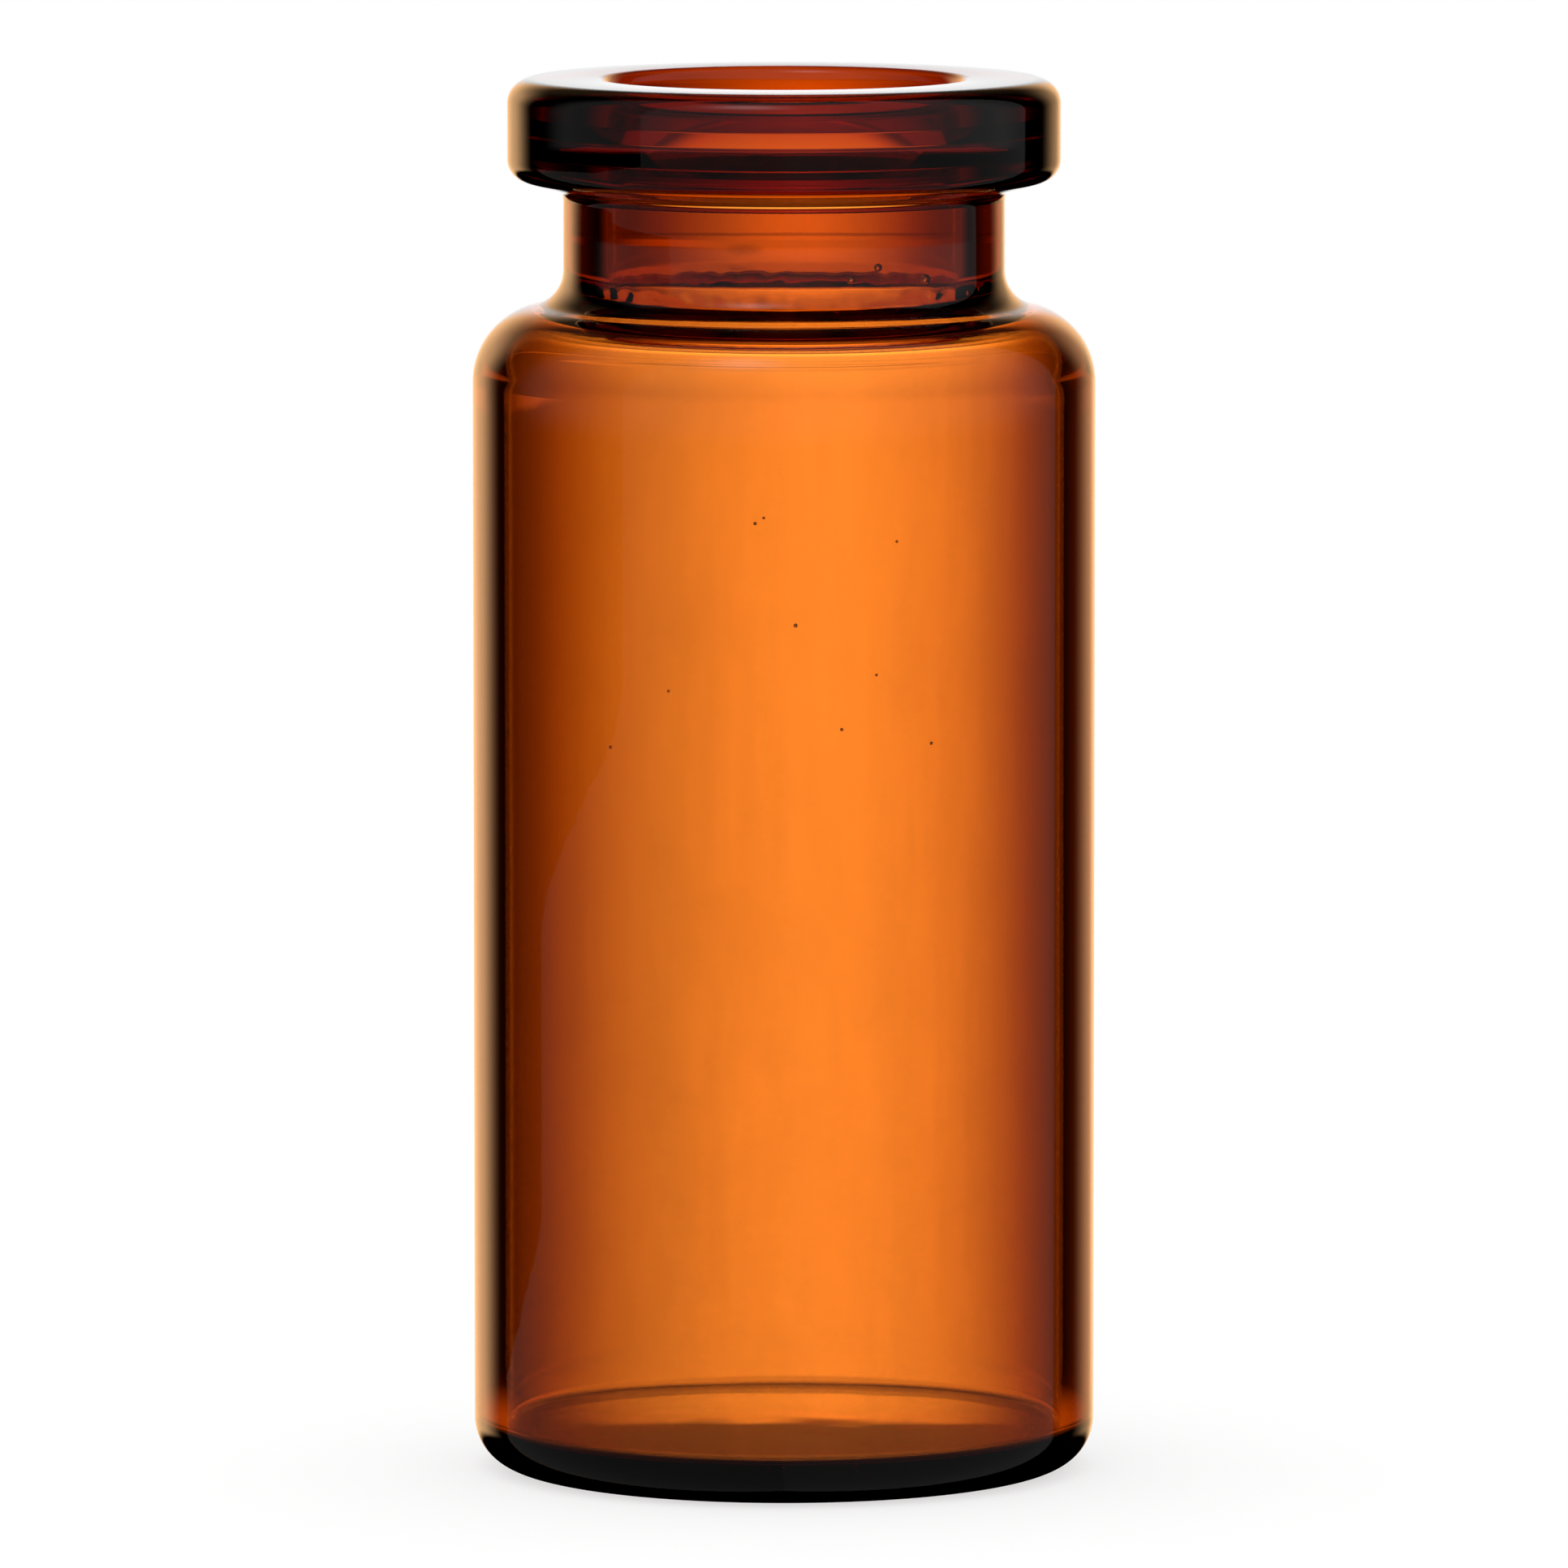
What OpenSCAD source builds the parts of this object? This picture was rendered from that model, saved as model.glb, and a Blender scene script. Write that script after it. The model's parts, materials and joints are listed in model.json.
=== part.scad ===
// Amber glass vial with a crimp neck, drawn from one piece of glass tube.
//
// The vial is a body of revolution: a tube, a floor pushed inwards, a rounded
// shoulder, a short neck and a thick flange round the mouth. A groove in the
// bore holds the stopper's plug.
// The origin is the centre of the foot ring, and +Z runs up the axis.

/* [Overall] */
// Height from the foot ring to the flange's top face
overall_h = 50; // [40:0.5:70]
// Outside diameter of the tube
body_d = 22.3; // [19:0.1:30]
// Thickness of the tube's wall
wall_t = 1.1; // [0.7:0.05:1.8]

/* [Base] */
// Outside rounding between the wall and the foot ring
heel_r = 1.8; // [0.8:0.1:3]
// Inside rounding between the wall and the floor
heel_inner_r = 0.4; // [0.3:0.1:3]
// Width of the flat ring that the vial stands on
foot_w = 0.4; // [0.4:0.1:3]
// Depth of the hollow under the base
dish_h = 0.22; // [0.15:0.01:0.8]
// Thickness of the floor over the foot ring
floor_t = 1.5; // [0.9:0.05:2]
// Rise of the floor's middle inside the vial
dome_h = 0.17; // [0.15:0.01:0.6]
// Width of the flat ring between the floor's rise and its rounding
floor_ring_w = 0.5; // [0.3:0.1:2]

/* [Shoulder] */
// Thickness of the shoulder, measured square to its slope
shoulder_t = 0.84; // [0.6:0.02:1.6]
// Outside rounding between the wall and the shoulder
shoulder_r = 2.8; // [1:0.1:5]
// Inside rounding between the wall and the shoulder
shoulder_inner_r = 1.7; // [0.5:0.1:4]
// Slope of the shoulder, rising towards the neck
shoulder_slope = 15; // [5:1:40]
// Outside hollow rounding at the root of the neck
neck_fillet_r = 1.3; // [0.4:0.1:2.5]
// Inside rounding where the bore opens into the body
neck_inner_r = 0.2; // [0.1:0.1:2.5]

/* [Neck] */
// Diameter of the bore that takes the stopper
bore_d = 12.6; // [9:0.1:15]
// Thickness of the neck's wall
neck_t = 1.6; // [1:0.05:2.2]
// Length of the straight neck under the flange
neck_h = 2.5; // [1.5:0.1:5]

/* [Flange] */
// Outside diameter of the flange
flange_d = 19.8; // [19:0.1:26]
// Thickness of the flange at its rim
flange_t = 3.7; // [2.8:0.1:5]
// Rounding of the rim's upper edge
rim_upper_r = 0.9; // [0.3:0.1:1.2]
// Rounding of the rim's lower edge
rim_lower_r = 0.8; // [0.3:0.1:1.2]
// Slope of the flange's underside, falling towards the neck
under_slope = 15; // [5:1:40]
// Hollow rounding between the underside and the neck
under_fillet_r = 0.4; // [0.2:0.1:1]
// Rounding of the mouth's edge
mouth_r = 0.4; // [0.2:0.1:0.8]

/* [Groove in the bore] */
// Distance from the mouth down to the groove's deepest line
groove_drop = 2.07; // [1.7:0.01:2.6]
// Depth of the groove
groove_depth = 0.44; // [0.3:0.01:0.7]
// Rounding of the groove's edges and of its deepest line
groove_r = 0.13; // [0.05:0.01:0.2]
// Slope of the groove's upper flank, measured from level
groove_upper_slope = 50; // [45:1:60]
// Slope of the groove's lower flank, measured from level
groove_lower_slope = 58; // [45:1:65]

/* [Hidden] */
$fn = 256;

AMBER = [0.80, 0.36, 0.07, 0.75];

body_r = body_d / 2;
cavity_r = body_r - wall_t;
bore_r = bore_d / 2;
neck_r = bore_r + neck_t;
flange_r = flange_d / 2;
dish_r = body_r - heel_r - foot_w;
dome_r = cavity_r - heel_inner_r - floor_ring_w;
groove_outer_r = bore_r + groove_depth;
groove_z = overall_h - groove_drop;

// How far a slope's ends lie inside their roundings, so that line and arc cross in one clean corner.
seam = 0.002;

// How much of their size a step's two roundings keep: a small step between two radii shrinks both.
function fit_share(outer_r, edge_r, inner_r, fillet_r, slope) =
    min(1, (outer_r - inner_r) / ((edge_r + fillet_r) * (1 - sin(slope))));

// A rounding's radius when it keeps this share of its size, in whole hundredths of a millimetre.
function shrunk(r, share) = share < 1 ? floor(100 * r * share) / 100 : r;

// Height of a step, from the centre of its edge rounding to the centre of its hollow rounding.
function step_h(outer_r, edge_r, inner_r, fillet_r, slope) =
    (edge_r + fillet_r + (outer_r - edge_r - inner_r - fillet_r) * sin(slope)) / cos(slope);

// Radius of the sphere whose cap has this rim radius and rise.
function cap_r(rim_r, rise) = (rim_r * rim_r + rise * rise) / (2 * rise);

shoulder_share = fit_share(body_r, shoulder_r, neck_r, neck_fillet_r, shoulder_slope);
shoulder_edge = shrunk(shoulder_r, shoulder_share);
shoulder_fillet = shrunk(neck_fillet_r, shoulder_share);
shoulder_h = step_h(body_r, shoulder_edge, neck_r, shoulder_fillet, shoulder_slope);

ceiling_share = fit_share(cavity_r, shoulder_inner_r, bore_r, neck_inner_r, shoulder_slope);
ceiling_edge = shrunk(shoulder_inner_r, ceiling_share);
ceiling_fillet = shrunk(neck_inner_r, ceiling_share);

under_share = fit_share(flange_r, rim_lower_r, neck_r, under_fillet_r, under_slope);
under_edge = shrunk(rim_lower_r, under_share);
under_fillet = shrunk(under_fillet_r, under_share);
under_h = step_h(flange_r, under_edge, neck_r, under_fillet, under_slope);

rim_z = overall_h - flange_t + under_edge;
neck_z = rim_z - under_h - neck_h;
shoulder_z = neck_z - shoulder_h;
// The ceiling lies shoulder_t below the shoulder, measured square to the slope.
ceiling_z = shoulder_z
    + ((shoulder_edge - ceiling_edge) * (1 - sin(shoulder_slope))
    + wall_t * sin(shoulder_slope) - shoulder_t) / cos(shoulder_slope);

// Half section of a step between two radii, out from the axis. Up from its origin, which is level
// with the edge rounding's centre, it follows that rounding, a slope and a hollow rounding, and it
// ends level with the hollow one's centre. Below the origin it fills the rounding's other half.
module step_section(outer_r, edge_r, inner_r, fillet_r, slope) {
    edge_c = [outer_r - edge_r, 0];
    fillet_c = [inner_r + fillet_r, step_h(outer_r, edge_r, inner_r, fillet_r, slope)];
    square_to_slope = [sin(slope), cos(slope)];
    difference() {
        union() {
            translate(edge_c) circle(r = edge_r);
            polygon([
                [0, -edge_r],
                [edge_c[0], -edge_r],
                edge_c + (edge_r - seam) * square_to_slope,
                fillet_c - (fillet_r - seam) * square_to_slope,
                fillet_c,
                [0, fillet_c[1]]
            ]);
        }
        translate(fillet_c) circle(r = fillet_r);
    }
}

// Half section of a straight stretch whose bottom corner is rounded.
module rounded_foot_section(outer_r, corner_r, height) {
    translate([0, corner_r]) square([outer_r, height - corner_r]);
    square([outer_r - corner_r, corner_r]);
    intersection() {
        translate([outer_r - corner_r, corner_r]) circle(r = corner_r);
        square([outer_r, corner_r]);
    }
}

// Half section of a flat cap of a sphere, from its centre line out to rim_r.
module cap_section(rim_r, rise) {
    intersection() {
        translate([0, rise - cap_r(rim_r, rise)]) circle(r = cap_r(rim_r, rise));
        square([rim_r, rise]);
    }
}

// Half section of the outside, as if the vial were solid.
module outside_section() {
    rounded_foot_section(body_r, heel_r, shoulder_z);
    translate([0, shoulder_z])
        step_section(body_r, shoulder_edge, neck_r, shoulder_fillet, shoulder_slope);
    translate([0, shoulder_z]) square([neck_r, rim_z - shoulder_z]);
    translate([0, rim_z]) mirror([0, 1])
        step_section(flange_r, under_edge, neck_r, under_fillet, under_slope);
    translate([0, overall_h]) mirror([0, 1])
        rounded_foot_section(flange_r, rim_upper_r, overall_h - rim_z);
}

// Half section of the bore at the groove, level with the groove's deepest line.
module groove_section() {
    step_section(groove_outer_r, groove_r, bore_r, groove_r, groove_upper_slope);
    mirror([0, 1])
        step_section(groove_outer_r, groove_r, bore_r, groove_r, groove_lower_slope);
}

// Half section of the space inside, from the floor up through the bore.
module inside_section() {
    difference() {
        union() {
            translate([0, floor_t])
                rounded_foot_section(cavity_r, heel_inner_r, ceiling_z - floor_t);
            translate([0, ceiling_z])
                step_section(cavity_r, ceiling_edge, bore_r, ceiling_fillet, shoulder_slope);
            translate([0, floor_t]) square([bore_r, overall_h]);
            translate([0, groove_z]) groove_section();
        }
        translate([0, floor_t]) cap_section(dome_r, dome_h);
    }
}

// Half section of what rounding the mouth's edge takes away.
module mouth_section() {
    difference() {
        translate([0, overall_h - mouth_r]) square([bore_r + mouth_r, mouth_r]);
        translate([bore_r + mouth_r, overall_h - mouth_r]) circle(r = mouth_r);
    }
}

module vial() {
    color(AMBER)
    rotate_extrude()
    difference() {
        outside_section();
        inside_section();
        mouth_section();
        cap_section(dish_r, dish_h);
    }
}

vial();
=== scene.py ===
# Looks of the amber glass vial: a finely turned glass mesh, its material, the stage, the light
# and the camera. Lengths in the outline are millimetres, and the meshes are metres.

import json
import math
import random

import bpy
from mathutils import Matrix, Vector, noise


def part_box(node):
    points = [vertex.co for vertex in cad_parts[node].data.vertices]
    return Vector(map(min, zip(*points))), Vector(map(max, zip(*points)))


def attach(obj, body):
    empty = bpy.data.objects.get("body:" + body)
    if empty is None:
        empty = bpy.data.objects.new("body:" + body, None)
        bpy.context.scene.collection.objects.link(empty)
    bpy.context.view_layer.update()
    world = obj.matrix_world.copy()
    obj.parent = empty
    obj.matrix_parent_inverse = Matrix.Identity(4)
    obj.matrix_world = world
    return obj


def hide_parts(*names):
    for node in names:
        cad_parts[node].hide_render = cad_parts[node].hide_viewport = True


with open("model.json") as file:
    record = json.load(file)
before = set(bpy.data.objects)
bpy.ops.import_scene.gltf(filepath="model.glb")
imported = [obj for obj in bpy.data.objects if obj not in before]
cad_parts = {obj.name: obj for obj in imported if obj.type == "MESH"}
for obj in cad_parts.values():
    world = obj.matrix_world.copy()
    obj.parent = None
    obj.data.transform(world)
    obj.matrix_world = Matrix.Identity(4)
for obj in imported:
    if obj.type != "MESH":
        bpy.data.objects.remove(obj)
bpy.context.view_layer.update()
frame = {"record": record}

MM = 0.001
CAP_STEPS = 40


def mount(name):
    """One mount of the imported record."""
    return next(m for m in frame["record"]["mounts"] if m["name"] == name)


# ---- Sizes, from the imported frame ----

_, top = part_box("vial")
height = top.z / MM
body_r = mount("body_tube")["dims"]["r_mm"]
bore_r = mount("stopper_bore")["dims"]["r_mm"]
flange_r = mount("crimp_rim")["dims"]["r_mm"]

# ---- Sizes that no mount states, in mm ----

wall_t = 1.1
neck_t = 1.6
slope = math.radians(15)
heel_r = 1.8
heel_inner_r = 0.4
foot_w = 0.4
dish_h = 0.22
floor_t = 1.5
dome_h = 0.17
floor_ring_w = 0.5
shoulder_r = 2.8
shoulder_t = 0.84
shoulder_inner_r = 1.7
neck_fillet_r = 1.3
neck_inner_r = 0.2
flange_t = 3.7
rim_upper_r = 0.9
rim_lower_r = 0.8
under_fillet_r = 0.4
mouth_r = 0.4
groove_top_z = 48.49
groove_z = 47.93
groove_foot_z = 47.18
groove_depth = 0.47
groove_r = 0.13

cavity_r = body_r - wall_t
neck_r = bore_r + neck_t
# How far a rounding reaches from its corner, between an upright wall and the slope.
reach = math.tan((math.pi / 2 - slope) / 2)

rim_corner_z = height - flange_t + rim_lower_r * (1 - reach)
under_corner_z = rim_corner_z - (flange_r - neck_r) * math.tan(slope)
shoulder_corner_z = heel_r + mount("body_tube")["dims"]["length_mm"] + shoulder_r * reach
neck_corner_z = shoulder_corner_z + (body_r - neck_r) * math.tan(slope)
ceiling_corner_z = shoulder_corner_z + wall_t * math.tan(slope) - shoulder_t / math.cos(slope)
bore_corner_z = ceiling_corner_z + (cavity_r - bore_r) * math.tan(slope)


def cap(rim_r, rise, foot_z):
    """Points of a flat cap of a sphere, from its centre out to its rim."""
    sphere_r = (rim_r ** 2 + rise ** 2) / (2 * rise)
    radii = [rim_r * i / CAP_STEPS for i in range(CAP_STEPS + 1)]
    return [(r, foot_z + rise - sphere_r + math.sqrt(sphere_r ** 2 - r ** 2), 0) for r in radii]


# The whole half section, from the centre of the base round to the centre of the floor:
# radius, height and the rounding of each corner.
SECTION = cap(body_r - heel_r - foot_w, dish_h, 0) + [
    (body_r, 0, heel_r),
    (body_r, shoulder_corner_z, shoulder_r),
    (neck_r, neck_corner_z, neck_fillet_r),
    (neck_r, under_corner_z, under_fillet_r),
    (flange_r, rim_corner_z, rim_lower_r),
    (flange_r, height, rim_upper_r),
    (bore_r, height, mouth_r),
    (bore_r, groove_top_z, groove_r),
    (bore_r + groove_depth, groove_z, groove_r),
    (bore_r, groove_foot_z, groove_r),
    (bore_r, bore_corner_z, neck_inner_r),
    (cavity_r, ceiling_corner_z, shoulder_inner_r),
    (cavity_r, floor_t, heel_inner_r),
]
SECTION += cap(cavity_r - heel_inner_r - floor_ring_w, dome_h, floor_t)[::-1]

# ---- Fineness of the mesh: length of an arc's pieces, of a line's and of the bore's, in mm ----

ARC_STEP = 0.09
ARC_PIECES = 4
LINE_STEP = 2.5
BORE_STEP = 0.2
TURNS = 240
STRAIGHT_ON = 1e-6

# ---- Unevenness of the glass, in mm: how far the inner face strays, and over what distance ----

WALL_WAVE = 0.006
WALL_WAVE_W = 5
WALL_WAVE_STRETCH = 4
FLOOR_WAVE = 0.006
FLOOR_WAVE_W = 2.2
# Below the neck the inner face is rough from the tool that shaped it.
TOOL_MARK = 0.09
TOOL_MARK_W = 0.5
TOOL_MARK_Z = 42.1
TOOL_MARK_H = 0.4

# Gas bubbles in the front wall: x, height, distance from the axis and radius.
SEEDS = [(-1.0, 35.0, 10.6, 0.06), (-0.7, 35.2, 10.6, 0.05), (0.4, 31.4, 10.6, 0.07), (3.2, 29.6, 10.6, 0.05),
         (2.0, 27.7, 10.6, 0.06), (5.1, 27.1, 10.6, 0.06), (-4.0, 29.0, 10.6, 0.05), (-6.0, 26.9, 10.6, 0.06),
         (3.9, 34.3, 10.6, 0.05), (4.8, 43.2, 7.1, 0.19), (2.3, 43.3, 7.1, 0.16), (3.2, 43.7, 7.1, 0.15)]
SEED_RINGS = 8
SEED_TURNS = 12
# Small bubbles scattered through the floor: their number, the random draw's start, how much of the
# floor they cover, and their depths and radii.
FLOOR_SEEDS = 26
FLOOR_SEED_CHANCE = 5
FLOOR_SEED_REACH = 0.85
FLOOR_SEED_DEPTH = (0.15, 0.3)
FLOOR_SEED_R = (0.025, 0.06)


def rounded_outline(section):
    """The section's line, with an arc at each rounded corner, as [radius, height] points."""
    line = [Vector(section[0][:2])]
    for before, corner, after in zip(section, section[1:], section[2:]):
        c = Vector(corner[:2])
        arrive = (c - Vector(before[:2])).normalized()
        leave = (Vector(after[:2]) - c).normalized()
        turn = arrive.angle_signed(leave)
        if corner[2] == 0 or abs(turn) < STRAIGHT_ON:
            line.append(c)
            continue
        start = c - arrive * corner[2] * math.tan(abs(turn) / 2)
        side = Vector((-arrive.y, arrive.x)) * math.copysign(1, -turn)
        centre = start + side * corner[2]
        count = max(ARC_PIECES, round(abs(turn) * corner[2] / ARC_STEP))
        for i in range(count + 1):
            angle = -turn * i / count
            spoke = start - centre
            line.append(centre + Vector((spoke.x * math.cos(angle) - spoke.y * math.sin(angle),
                                         spoke.x * math.sin(angle) + spoke.y * math.cos(angle))))
    line.append(Vector(section[-1][:2]))
    return line


def divided(line):
    """The line with its long stretches cut into short pieces, the shortest ones below the groove."""
    out = [line[0]]
    for a, b in zip(line, line[1:]):
        in_bore = max(a.x, b.x) < bore_r + neck_inner_r and max(a.y, b.y) < groove_foot_z
        parts = max(1, math.ceil((b - a).length / (BORE_STEP if in_bore else LINE_STEP)))
        out += [a.lerp(b, (i + 1) / parts) for i in range(parts)]
    return out


def wave(x, y, z, width):
    """Smooth noise from -1 to 1 that changes over this distance."""
    return noise.noise(Vector((x, y, z)) / width)


def uneven(x, y, z):
    """A point of the inner face, moved by the glass's unevenness."""
    r = math.hypot(x, y)
    if z < floor_t + dome_h + FLOOR_WAVE and r < cavity_r - heel_inner_r:
        return x, y, z + FLOOR_WAVE * wave(x, y, 0, FLOOR_WAVE_W)
    out = WALL_WAVE * wave(x, y, z / WALL_WAVE_STRETCH, WALL_WAVE_W)
    near = math.exp(-((z - TOOL_MARK_Z) / TOOL_MARK_H) ** 2)
    out += TOOL_MARK * near * wave(x, y, z, TOOL_MARK_W)
    return x * (1 + out / r), y * (1 + out / r), z


def add_seed(verts, faces, centre, radius):
    """A bubble: a small sphere whose faces look inwards, away from the glass."""
    first = len(verts)
    verts.append(centre + Vector((0, 0, radius)))
    for i in range(1, SEED_RINGS):
        down = math.pi * i / SEED_RINGS
        for k in range(SEED_TURNS):
            a = math.tau * k / SEED_TURNS
            spoke = Vector((math.sin(down) * math.cos(a), math.sin(down) * math.sin(a), math.cos(down)))
            verts.append(centre + spoke * radius)
    last = len(verts)
    verts.append(centre - Vector((0, 0, radius)))
    for k in range(SEED_TURNS):
        n = (k + 1) % SEED_TURNS
        faces.append((first, first + 1 + n, first + 1 + k))
        for i in range(SEED_RINGS - 2):
            row = first + 1 + i * SEED_TURNS
            faces.append((row + k, row + n, row + SEED_TURNS + n, row + SEED_TURNS + k))
        row = first + 1 + (SEED_RINGS - 2) * SEED_TURNS
        faces.append((row + k, row + n, last))


def seed_places():
    """Centre and radius of every bubble, in mm: those seen in the wall, then the floor's."""
    for x, z, r, radius in SEEDS:
        yield Vector((x, -math.sqrt(r ** 2 - x ** 2), z)), radius
    chance = random.Random(FLOOR_SEED_CHANCE)
    for _ in range(FLOOR_SEEDS):
        turn = chance.uniform(0, math.tau)
        r = cavity_r * FLOOR_SEED_REACH * math.sqrt(chance.random())
        z = floor_t - chance.uniform(*FLOOR_SEED_DEPTH)
        yield Vector((r * math.cos(turn), r * math.sin(turn), z)), chance.uniform(*FLOOR_SEED_R)


def turned(line, first_uneven):
    """Vertices and faces of the outline turned round the axis; the inner face is uneven from there on."""
    inner = line[1:-1]
    verts = [(0, 0, line[0].y * MM)]
    for i, p in enumerate(inner):
        for k in range(TURNS):
            a = math.tau * k / TURNS
            place = p.x * math.cos(a), p.x * math.sin(a), p.y
            if i > first_uneven and p.y < groove_foot_z - groove_r:
                place = uneven(*place)
            verts.append(Vector(place) * MM)
    verts.append((0, 0, line[-1].y * MM))
    last = len(verts) - 1
    faces = []
    for k in range(TURNS):
        n = (k + 1) % TURNS
        faces.append((0, 1 + n, 1 + k))
        for i in range(len(inner) - 1):
            row = 1 + i * TURNS
            faces.append((row + k, row + n, row + TURNS + n, row + TURNS + k))
        row = 1 + (len(inner) - 1) * TURNS
        faces.append((row + k, row + n, last))
    return verts, faces


def vial_mesh():
    line = divided(rounded_outline(SECTION))
    mouth = next(i for i, p in enumerate(line) if p.y > height - mouth_r and p.x < bore_r + mouth_r)
    verts, faces = turned(line, mouth)
    for centre, radius in seed_places():
        add_seed(verts, faces, centre * MM, radius * MM)
    mesh = bpy.data.meshes.new("vial_glass")
    mesh.from_pydata(verts, [], faces)
    mesh.polygons.foreach_set("use_smooth", [True] * len(mesh.polygons))
    mesh.update()
    return mesh


# ---- Shader nodes ----

def node(tree, kind, inputs=None, **settings):
    """A new shader node with these settings; inputs maps a socket's name or index to a value or link."""
    made = tree.nodes.new(kind)
    for key, value in settings.items():
        setattr(made, key, value)
    for key, value in (inputs or {}).items():
        if isinstance(value, bpy.types.NodeSocket):
            tree.links.new(value, made.inputs[key])
        else:
            made.inputs[key].default_value = value
    return made


def maths(tree, operation, *values):
    return node(tree, "ShaderNodeMath", dict(enumerate(values)), operation=operation).outputs[0]


def vector_maths(tree, operation, *values):
    return node(tree, "ShaderNodeVectorMath", dict(enumerate(values)), operation=operation).outputs


def product(tree, first, *others):
    for other in others:
        first = maths(tree, "MULTIPLY", first, other)
    return first


def total(tree, first, *others):
    for other in others:
        first = maths(tree, "ADD", first, other)
    return first


def ramp(tree, value, low, high, at_low, at_high):
    """A smooth step from one value to another, between two values of the input."""
    return node(tree, "ShaderNodeMapRange",
                {"Value": value, "From Min": low, "From Max": high, "To Min": at_low, "To Max": at_high},
                interpolation_type="SMOOTHSTEP").outputs[0]


def bell(tree, distance, width, power):
    """1 at no distance, falling to 0 over about this width."""
    scaled = maths(tree, "POWER", maths(tree, "DIVIDE", distance, width), power)
    return maths(tree, "EXPONENT", maths(tree, "MULTIPLY", scaled, -1))


def mixed(tree, share, first, second):
    """A number between two, with this share of the second."""
    return node(tree, "ShaderNodeMix", {0: share, 2: first, 3: second}).outputs[0]


def mixed_colour(tree, share, first, second):
    """A colour between two, with this share of the second."""
    return node(tree, "ShaderNodeMix", {0: share, 6: first, 7: second}, data_type="RGBA").outputs[2]


# ---- Glass ----

GLASS_IOR = 1.5
# What the glass absorbs of red, green and blue, per metre; the density is above all three.
ABSORBED = (420, 1080, 2270)
ABSORPTION_DENSITY = 2400
# Patterns per metre: streaks drawn out along the tube, patches of tone, and the skin's orange peel.
STREAKS_PER_M = 900.0
STREAK_DETAIL = 3.0
STREAK_STRETCH = 0.12
PATCHES_PER_M = 260.0
PATCH_DETAIL = 4.0
PEEL_PER_M = 420.0
PEEL_DETAIL = 2.0
PEEL_STRENGTH = 0.05
PEEL_H = 0.02 * MM
# Ramps over a pattern's value: from, to, result at from, result at to.
STREAK_TONE = (0.35, 0.65, 0.95, 1.0)
PATCH_TONE = (0.3, 0.6, 0.94, 1.0)
PATCH_ROUGHNESS = (0.5, 0.75, 0.0, 0.02)
# Smudges on the front of the neck: x, height, half width and half height in mm.
SMUDGES = [(-1.4, 44.4, 0.7, 0.22), (-1.5, 43.7, 0.55, 0.16)]
SMUDGE_EDGE = (0.3, 1.3)
SMUDGE_TONE = 0.7


def pattern(tree, place, per_metre, detail):
    """Noise over the object, as a value around a half."""
    return node(tree, "ShaderNodeTexNoise", {0: place, "Scale": per_metre, "Detail": detail}).outputs[0]


def smudges(tree, place):
    """A factor that is below 1 only on the smudges."""
    tone = 1.0
    for x, z, half_w, half_h in SMUDGES:
        size = Vector((half_w, neck_r / 2, half_h)) * MM
        centre = Vector((x, -neck_r, z)) * MM
        away = vector_maths(tree, "SUBTRACT", place, centre)[0]
        away = vector_maths(tree, "DIVIDE", away, size)[0]
        distance = vector_maths(tree, "LENGTH", away)["Value"]
        tone = product(tree, tone, ramp(tree, distance, *SMUDGE_EDGE, SMUDGE_TONE, 1.0))
    return tone


def glass_material():
    """Clear amber glass: what it takes from the light, and its fire-polished, slightly uneven skin."""
    material = bpy.data.materials.new("amber_glass")
    material.use_nodes = True
    tree = material.node_tree
    shader = tree.nodes["Principled BSDF"]
    shader.inputs["Transmission Weight"].default_value = 1
    shader.inputs["IOR"].default_value = GLASS_IOR
    place = node(tree, "ShaderNodeTexCoord").outputs["Object"]
    drawn = node(tree, "ShaderNodeMapping", {0: place, "Scale": (1, 1, STREAK_STRETCH)}).outputs[0]
    streaks = pattern(tree, drawn, STREAKS_PER_M, STREAK_DETAIL)
    patches = pattern(tree, place, PATCHES_PER_M, PATCH_DETAIL)
    tone = maths(tree, "MINIMUM", ramp(tree, streaks, *STREAK_TONE), ramp(tree, patches, *PATCH_TONE))
    tone = product(tree, tone, smudges(tree, place))
    colour = node(tree, "ShaderNodeCombineColor", {0: tone, 1: tone, 2: tone}).outputs[0]
    tree.links.new(colour, shader.inputs["Base Color"])
    tree.links.new(ramp(tree, patches, *PATCH_ROUGHNESS), shader.inputs["Roughness"])
    peel = pattern(tree, place, PEEL_PER_M, PEEL_DETAIL)
    bump = node(tree, "ShaderNodeBump", {"Height": peel, "Strength": PEEL_STRENGTH, "Distance": PEEL_H})
    tree.links.new(bump.outputs[0], shader.inputs["Normal"])
    passed = [1 - a / ABSORPTION_DENSITY for a in ABSORBED] + [1]
    volume = node(tree, "ShaderNodeVolumeAbsorption", {"Color": passed, "Density": ABSORPTION_DENSITY})
    tree.links.new(volume.outputs[0], tree.nodes["Material Output"].inputs["Volume"])
    return material


# ---- Light, by direction ----
# Azimuth is in degrees from +Y, behind the vial, towards +X; elevation is in degrees above level.
# A ramp is: from this angle, to this angle, value at the first, value at the second.

# The bright panel behind the vial, seen through the glass.
BACK_AZIMUTH = 1
BACK_WIDTH = (-12, -9, 8.5, 6)
BACK_POWER = 1.5
BACK_LOW = (-14, -9.5, 1.7, 2.5)
BACK_MIDDLE = (-9, -5, 0, 0.3)
BACK_HIGH = (0, 6, 0, 2.8)
BACK_TOP = (8.5, 9.7, 1, 0)
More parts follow.
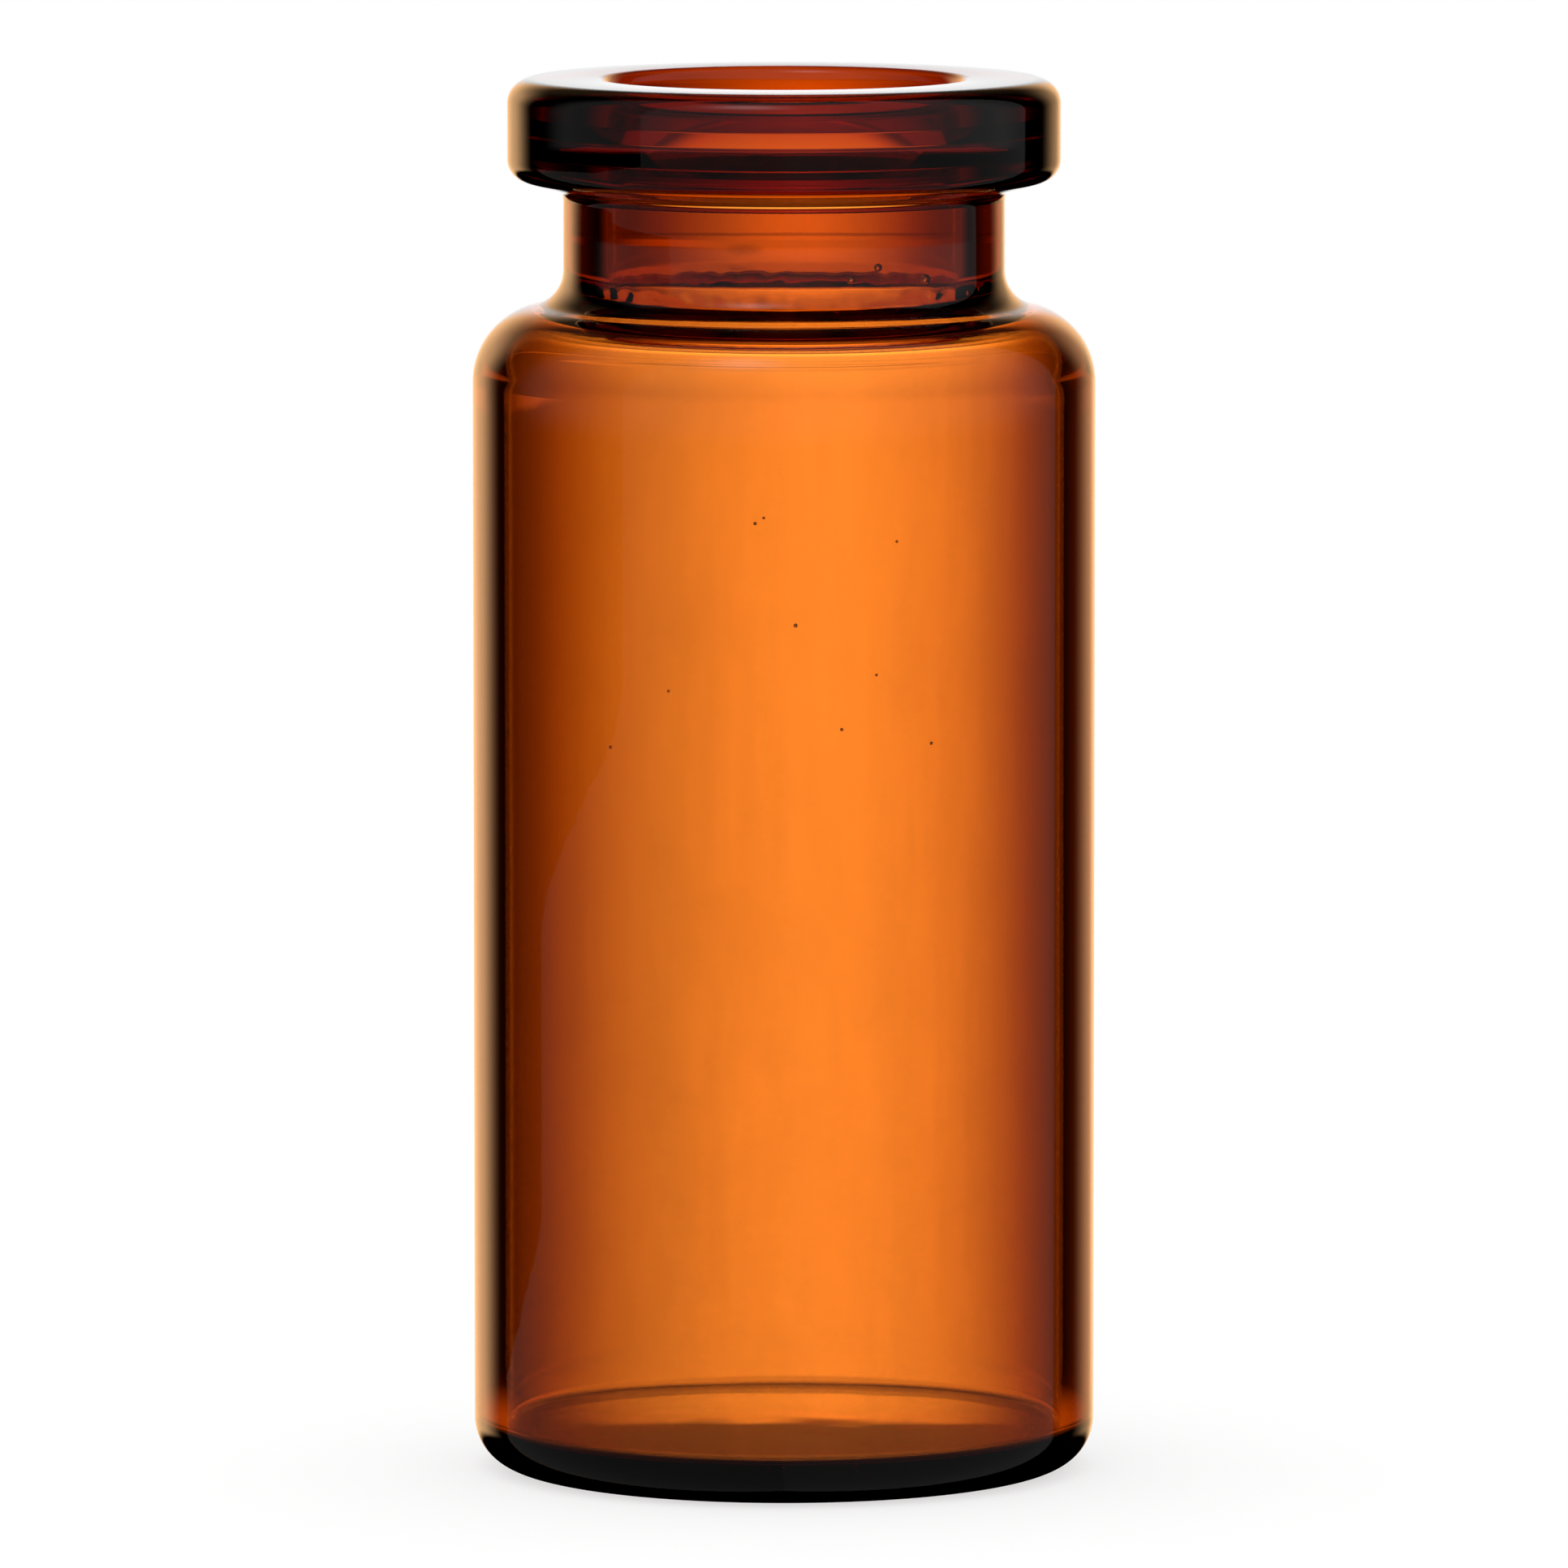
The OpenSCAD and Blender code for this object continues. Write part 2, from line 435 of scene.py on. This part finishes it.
# The wide light above the panel, and the faint light beside both.
UPPER_WIDTH = 14
UPPER_POWER = 2
UPPER_START = (8.5, 9.7, 0, 0.8)
UPPER_RISE = (14, 18, 1, 3)
UPPER_END = (22, 30, 1, 0.05)
BESIDE = (8, 45, 1, 0)
BESIDE_SIDES = (-4, 6, 0.3, 0.5)
# A wide glow, and less of the panel, at the height that the neck's rays reach.
NECK_START = (-4.64, -4.52, 0, 1)
NECK_END = (-4.12, -4, 1, 0)
NECK_GLOW_INNER = (0, 8, 0, 1)
NECK_GLOW_OUTER = (10, 32, 1, 0)
NECK_GLOW_SIDES = (-8, 5, 1.0, 0.4)
NECK_DIMMED = 0.86
# Less light at the height that the rays through the mouth reach.
MOUTH_START = (-3.8, -3.74, 0, 1)
MOUTH_END = (-3.6, -3.5, 1, 0)
MOUTH_DIMMED = 0.6
# Softer panels at both sides and at the front, every 90 degrees.
PANEL_HALF = 45
PANEL = (20, 45, 1.4, 0)
# The least light anywhere, and the pale floor below.
LEAST = 0.02
FLOOR_SEEN = (-14, -10, 1.4, 0)

# The panel behind the vial, reflected at the edges of the glass.
EDGE_SHIFT = 2.5
EDGE = (27, 47, 1.2, 0)
EDGE_RIGHT = (12, 26, 1, 0.5)
EDGE_TOP = (8, 30, 1, 0.05)
EDGE_BOTTOM = (-14, -10, 0, 1)
# Pale surroundings at the right, the left and the front. The left one's edge leans.
RIGHT = (59, 61, 0, 0.15)
LEFT_EDGE_LOW = (-8.3, -7.6, -54, -78)
LEFT_EDGE_HIGH = (-6.7, -5.8, 0, -40)
LEFT = 0.12
FRONT = (60, 80, 0, 0.17)
FRONT_BOTTOM = (-4.7, -4.2, 0, 1)
# The lamp in front and above, which the lip and the shoulder reflect.
LAMP_AZIMUTH = 203
LAMP_ELEVATION = 59
LAMP_WIDTH = 20
LAMP_HEIGHT = 9
LAMP_POWER = 2
LAMP = 1.8

WHITE = (1, 1, 1, 1)
# Away from the panel's middle the light is warmer: through the glass, and reflected on it.
WARM_THROUGH = (1.1, 0.76, 0.5, 1)
WARM_THROUGH_FROM = (3, 11, 0, 1)
WARM_REFLECTED = (1.5, 0.85, 0.4, 1)
WARM_REFLECTED_FROM = (3, 12, 0, 1)
WARM_REFLECTED_TO = (50, 60, 1, 0)


def band(tree, elevation, start, end):
    """1 between two heights, and 0 beyond both."""
    return product(tree, ramp(tree, elevation, *start), ramp(tree, elevation, *end))


def light_through(tree, azimuth, elevation, off):
    """Strength of the light that is seen through the glass; off is the distance from the panel's middle."""
    back = bell(tree, off, ramp(tree, elevation, *BACK_WIDTH), BACK_POWER)
    strength = total(tree, ramp(tree, elevation, *BACK_LOW), ramp(tree, elevation, *BACK_MIDDLE),
                     ramp(tree, elevation, *BACK_HIGH))
    back = product(tree, back, strength, ramp(tree, elevation, *BACK_TOP))
    upper = product(tree, bell(tree, off, UPPER_WIDTH, UPPER_POWER), ramp(tree, elevation, *UPPER_START),
                    ramp(tree, elevation, *UPPER_RISE))
    beside = product(tree, ramp(tree, off, *BESIDE), ramp(tree, azimuth, *BESIDE_SIDES))
    light = total(tree, back, product(tree, total(tree, upper, beside), ramp(tree, elevation, *UPPER_END)))

    at_neck = band(tree, elevation, NECK_START, NECK_END)
    glow = product(tree, ramp(tree, off, *NECK_GLOW_INNER), ramp(tree, off, *NECK_GLOW_OUTER),
                   ramp(tree, azimuth, *NECK_GLOW_SIDES))
    light = product(tree, light, ramp(tree, at_neck, 0, 1, 1, NECK_DIMMED))
    light = total(tree, light, product(tree, glow, at_neck))
    at_mouth = band(tree, elevation, MOUTH_START, MOUTH_END)
    light = product(tree, light, ramp(tree, at_mouth, 0, 1, 1, MOUTH_DIMMED))

    around = maths(tree, "ABSOLUTE", azimuth)
    folded = maths(tree, "ABSOLUTE", maths(tree, "WRAP", azimuth, -PANEL_HALF, PANEL_HALF))
    panels = product(tree, ramp(tree, folded, *PANEL), maths(tree, "GREATER_THAN", around, PANEL_HALF))
    light = total(tree, light, panels, LEAST)
    return maths(tree, "MAXIMUM", light, ramp(tree, elevation, *FLOOR_SEEN))


def light_reflected(tree, azimuth, elevation):
    """Strength of the light that the glass reflects."""
    around = maths(tree, "ABSOLUTE", azimuth)
    shifted = maths(tree, "ABSOLUTE", maths(tree, "ADD", azimuth, EDGE_SHIFT))
    edge = product(tree, ramp(tree, shifted, *EDGE), band(tree, elevation, EDGE_TOP, EDGE_BOTTOM),
                   ramp(tree, azimuth, *EDGE_RIGHT))
    right = ramp(tree, azimuth, *RIGHT)
    front = product(tree, ramp(tree, around, *FRONT), ramp(tree, elevation, *FRONT_BOTTOM))
    left_edge = total(tree, ramp(tree, elevation, *LEFT_EDGE_LOW), ramp(tree, elevation, *LEFT_EDGE_HIGH))
    left = product(tree, maths(tree, "LESS_THAN", azimuth, left_edge), LEFT)
    full_turn = maths(tree, "WRAP", azimuth, 360, 0)
    lamp_side = bell(tree, maths(tree, "SUBTRACT", full_turn, LAMP_AZIMUTH), LAMP_WIDTH, LAMP_POWER)
    lamp_up = bell(tree, maths(tree, "SUBTRACT", elevation, LAMP_ELEVATION), LAMP_HEIGHT, LAMP_POWER)
    lamp = product(tree, lamp_side, lamp_up, LAMP)
    return total(tree, edge, right, left, lamp, front)


def studio_world():
    """White to the camera and on matt surfaces, and the studio's panels to the glass."""
    world = bpy.data.worlds.new("studio")
    world.use_nodes = True
    tree = world.node_tree
    tree.nodes.clear()
    toward = node(tree, "ShaderNodeTexCoord").outputs["Generated"]
    axis = node(tree, "ShaderNodeSeparateXYZ", {0: toward})
    azimuth = maths(tree, "DEGREES", maths(tree, "ARCTAN2", axis.outputs[0], axis.outputs[1]))
    elevation = maths(tree, "DEGREES", maths(tree, "ARCSINE", axis.outputs[2]))
    off = maths(tree, "ABSOLUTE", maths(tree, "SUBTRACT", azimuth, BACK_AZIMUTH))
    around = maths(tree, "ABSOLUTE", azimuth)
    path = node(tree, "ShaderNodeLightPath")
    refracted = path.outputs["Is Transmission Ray"]
    plain = maths(tree, "MAXIMUM", path.outputs["Is Camera Ray"], path.outputs["Is Diffuse Ray"])

    through = light_through(tree, azimuth, elevation, off)
    strength = mixed(tree, refracted, light_reflected(tree, azimuth, elevation), through)
    strength = mixed(tree, plain, strength, 1.0)

    warm_through = mixed_colour(tree, ramp(tree, off, *WARM_THROUGH_FROM), WHITE, WARM_THROUGH)
    warmth = band(tree, around, WARM_REFLECTED_FROM, WARM_REFLECTED_TO)
    warm_reflected = mixed_colour(tree, warmth, WHITE, WARM_REFLECTED)
    shiny = product(tree, path.outputs["Is Reflection Ray"], maths(tree, "SUBTRACT", 1, plain))
    colour = mixed_colour(tree, refracted, WHITE, warm_through)
    colour = mixed_colour(tree, shiny, colour, warm_reflected)
    background = node(tree, "ShaderNodeBackground", {"Color": colour, "Strength": strength})
    output = node(tree, "ShaderNodeOutputWorld")
    tree.links.new(background.outputs[0], output.inputs["Surface"])
    bpy.context.scene.world = world


# ---- Floor and camera ----

FLOOR_R = 120 * MM
FLOOR_WHITE = 0.45
# What the camera sees on top of the floor's own light, so that it looks white.
FLOOR_LIFT = 0.66
# Where the floor turns into the plain white background, from and to.
FLOOR_FADE = (FLOOR_R * 0.5, FLOOR_R * 0.95)
# Where the floor stops showing through the glass, from and to.
FLOOR_THROUGH_GLASS = (11.5 * MM, 15 * MM)

CAMERA_DISTANCE = 593 * MM
CAMERA_H = 88.56 * MM
CAMERA_DOWN = math.radians(6.153)
CAMERA_LENS = 381.74
CAMERA_SENSOR_W = 36


def floor_stage():
    """A white disc under the vial, which keeps its shadow and ends where the background starts."""
    mesh = bpy.data.meshes.new("floor")
    turns = [math.tau * k / TURNS for k in range(TURNS)]
    rim = [(FLOOR_R * math.cos(turn), FLOOR_R * math.sin(turn), 0) for turn in turns]
    mesh.from_pydata(rim, [], [tuple(range(TURNS))])
    floor = bpy.data.objects.new("floor", mesh)
    bpy.context.scene.collection.objects.link(floor)
    material = bpy.data.materials.new("floor_white")
    material.use_nodes = True
    tree = material.node_tree
    tree.nodes.clear()
    place = node(tree, "ShaderNodeTexCoord").outputs["Object"]
    distance = vector_maths(tree, "LENGTH", place)["Value"]
    path = node(tree, "ShaderNodeLightPath")
    paper = node(tree, "ShaderNodeBsdfDiffuse", {"Color": (FLOOR_WHITE, FLOOR_WHITE, FLOOR_WHITE, 1)})
    lift_strength = product(tree, path.outputs["Is Camera Ray"], FLOOR_LIFT)
    lift = node(tree, "ShaderNodeEmission", {"Strength": lift_strength})
    lit = node(tree, "ShaderNodeAddShader", {0: paper.outputs[0], 1: lift.outputs[0]})
    white = node(tree, "ShaderNodeEmission", {"Strength": 1.0})
    fade = ramp(tree, distance, *FLOOR_FADE, 0, 1)
    seen = node(tree, "ShaderNodeMixShader", {0: fade, 1: lit.outputs[0], 2: white.outputs[0]})
    clear = node(tree, "ShaderNodeBsdfTransparent")
    refracted = product(tree, path.outputs["Is Transmission Ray"],
                        ramp(tree, distance, *FLOOR_THROUGH_GLASS, 0, 1))
    mirrored = product(tree, path.outputs["Is Reflection Ray"],
                       maths(tree, "SUBTRACT", 1, path.outputs["Is Diffuse Ray"]))
    through = maths(tree, "MAXIMUM", refracted, mirrored)
    surface = node(tree, "ShaderNodeMixShader", {0: through, 1: seen.outputs[0], 2: clear.outputs[0]})
    output = node(tree, "ShaderNodeOutputMaterial")
    tree.links.new(surface.outputs[0], output.inputs["Surface"])
    floor.data.materials.append(material)


def camera():
    data = bpy.data.cameras.new("camera")
    data.sensor_width = CAMERA_SENSOR_W
    data.lens = CAMERA_LENS
    eye = bpy.data.objects.new("camera", data)
    eye.location = (0, -CAMERA_DISTANCE, CAMERA_H)
    eye.rotation_euler = (math.pi / 2 - CAMERA_DOWN, 0, 0)
    bpy.context.scene.collection.objects.link(eye)
    bpy.context.scene.camera = eye


vial = bpy.data.objects.new("vial_glass", vial_mesh())
bpy.context.scene.collection.objects.link(vial)
vial.data.materials.append(glass_material())
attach(vial, "root")
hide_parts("vial")

floor_stage()
studio_world()
camera()
bpy.context.scene.view_settings.view_transform = "Standard"
